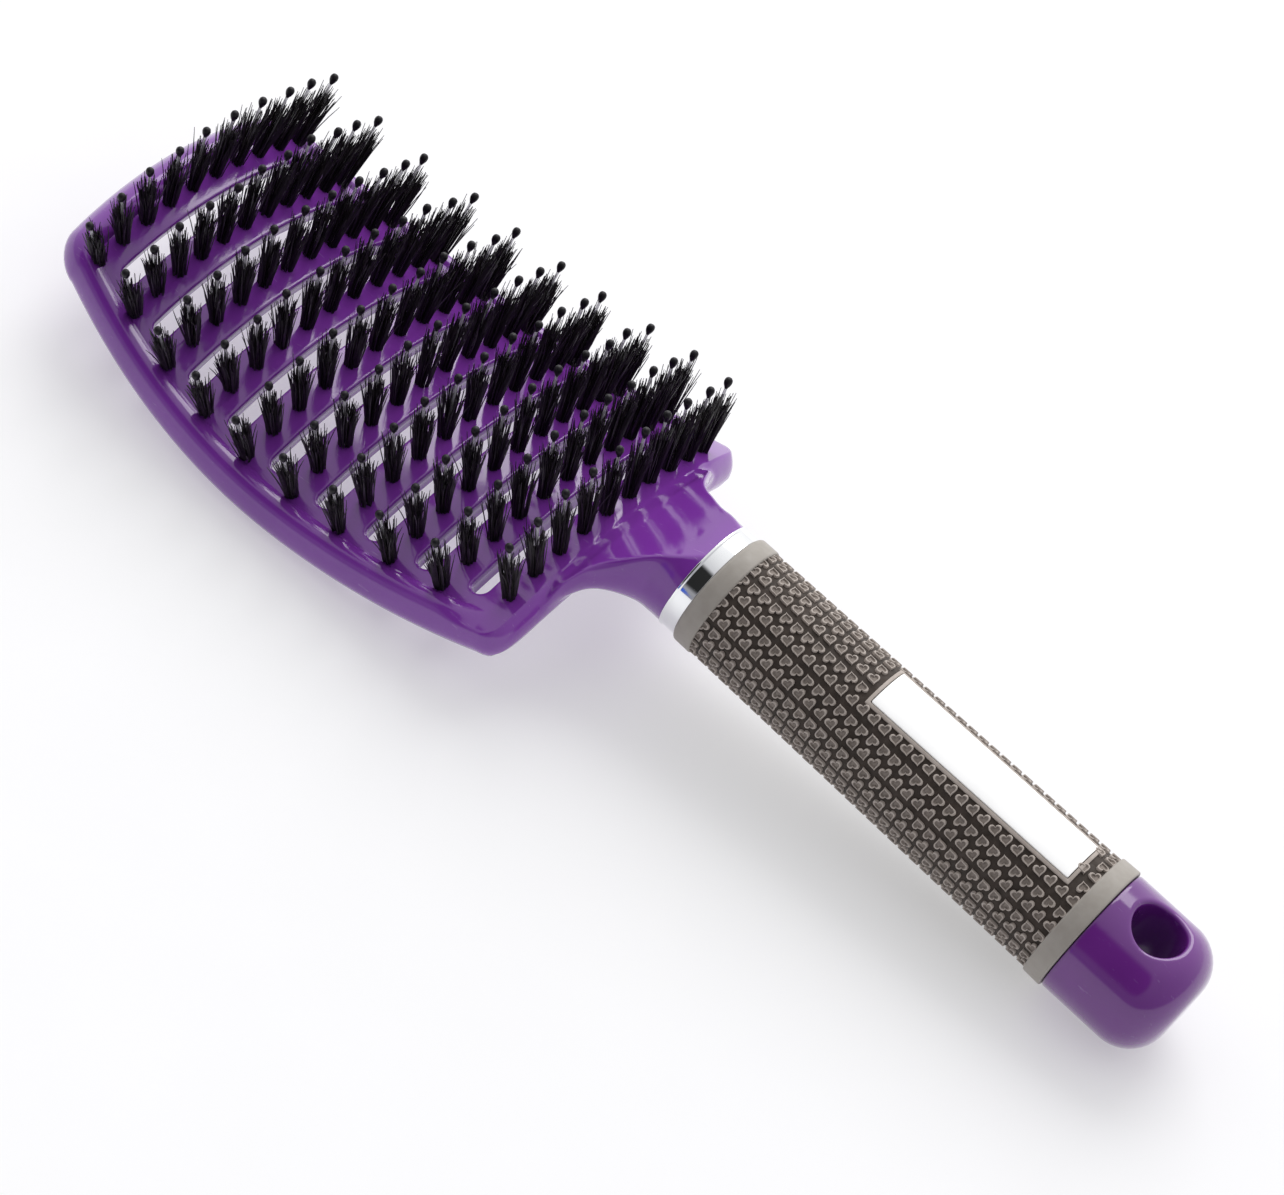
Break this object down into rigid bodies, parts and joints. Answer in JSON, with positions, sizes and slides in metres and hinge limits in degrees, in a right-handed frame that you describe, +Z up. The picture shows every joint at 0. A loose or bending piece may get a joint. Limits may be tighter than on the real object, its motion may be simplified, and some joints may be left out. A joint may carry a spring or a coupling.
{
  "type": "hair brush",
  "caption": "Vented curved paddle hair brush: slatted arched head with bristle tufts and ball-tipped pins, ring ferrule, round rubber grip and end cap with a hang hole.",
  "frame": {"origin": "bottom centre of the bounding box, with the brush lying on its back, bristles up", "axes": "+X along the brush towards the tip of the head, +Y across the head, +Z up, the way the bristles point"},
  "size_m": [0.2482, 0.0822, 0.04],
  "materials": {
    "head_plastic": "smooth glossy moulded plastic",
    "boar_bristle": "stiff black natural bristle",
    "pin_nylon": "clear nylon stem with a dark ball tip",
    "ferrule_chrome": "mirror chrome",
    "core_plastic": "plain moulded plastic, hidden",
    "grip_rubber": "soft moulded rubber with a raised pattern",
    "label_white": "smooth blank patch",
    "cap_plastic": "smooth glossy moulded plastic"
  },
  "bodies": {
    "root": {"head_frame": "head_plastic", "bristle_row_01": "boar_bristle", "bristle_row_02": "boar_bristle", "bristle_row_03": "boar_bristle", "bristle_row_04": "boar_bristle", "bristle_row_05": "boar_bristle", "bristle_row_06": "boar_bristle", "bristle_row_07": "boar_bristle", "bristle_row_08": "boar_bristle", "bristle_row_09": "boar_bristle", "bristle_row_10": "boar_bristle", "pin_row_01": "pin_nylon", "pin_row_02": "pin_nylon", "pin_row_03": "pin_nylon", "pin_row_04": "pin_nylon", "pin_row_05": "pin_nylon", "pin_row_06": "pin_nylon", "pin_row_07": "pin_nylon", "pin_row_08": "pin_nylon", "pin_row_09": "pin_nylon", "pin_row_10": "pin_nylon", "ferrule": "ferrule_chrome", "handle_core": "core_plastic", "grip_sleeve": "grip_rubber", "label_plate": "label_white", "end_cap": "cap_plastic"}
  },
  "joints": []
}
